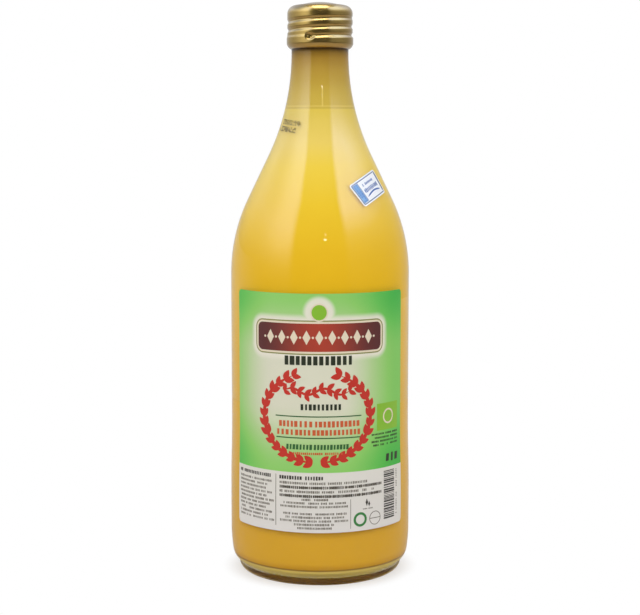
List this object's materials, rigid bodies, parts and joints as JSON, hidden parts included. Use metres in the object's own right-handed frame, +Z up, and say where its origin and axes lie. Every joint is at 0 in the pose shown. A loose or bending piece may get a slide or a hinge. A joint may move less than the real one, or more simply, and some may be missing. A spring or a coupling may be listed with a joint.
{
  "type": "vinegar bottle",
  "caption": "Round clear glass bottle filled with cloudy golden vinegar, with a gold screw cap, a printed paper label round the front and a small tag on the shoulder.",
  "frame": {"origin": "centre of the ring that the bottle stands on, in the plane of the table", "axes": "+Z up along the bottle's axis to the cap, -Y out of the middle of the label, +X to the right as the label is read"},
  "size_m": [0.0886, 0.0887, 0.2777],
  "materials": {
    "glass": "gloss",
    "vinegar": "gloss",
    "cap": "gloss",
    "label": "satin",
    "tag": "satin"
  },
  "bodies": {
    "root": {"bottle": "glass", "vinegar": "vinegar", "cap": "cap", "label": "label", "tag": "tag"}
  },
  "joints": []
}
